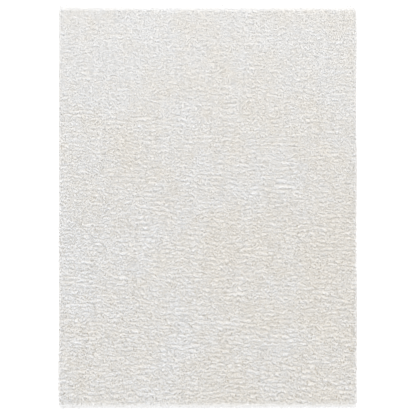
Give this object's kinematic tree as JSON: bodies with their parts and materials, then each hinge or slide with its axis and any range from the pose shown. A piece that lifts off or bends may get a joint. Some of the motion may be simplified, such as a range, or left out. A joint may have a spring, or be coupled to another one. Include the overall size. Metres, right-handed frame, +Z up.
{
  "type": "shag rug",
  "caption": "Rectangular ivory shag rug lying flat: deep lumpy pile with locks at its rim, on a woven ground cloth with overcast long sides.",
  "frame": {"origin": "on the floor, under the middle of the rug", "axes": "+X across the rug's width, +Y along its length away from the way the pile leans, +Z up out of the pile"},
  "size_m": [1.5999, 2.134, 0.035],
  "materials": {
    "pile_yarn": "ivory matt shag yarn",
    "ground_weave": "coarse undyed plain weave",
    "overcast_yarn": "ivory wrapped yarn"
  },
  "bodies": {
    "root": {"shag_pile": "pile_yarn", "ground_cloth": "ground_weave", "overcast_left": "overcast_yarn", "overcast_right": "overcast_yarn"}
  },
  "joints": []
}
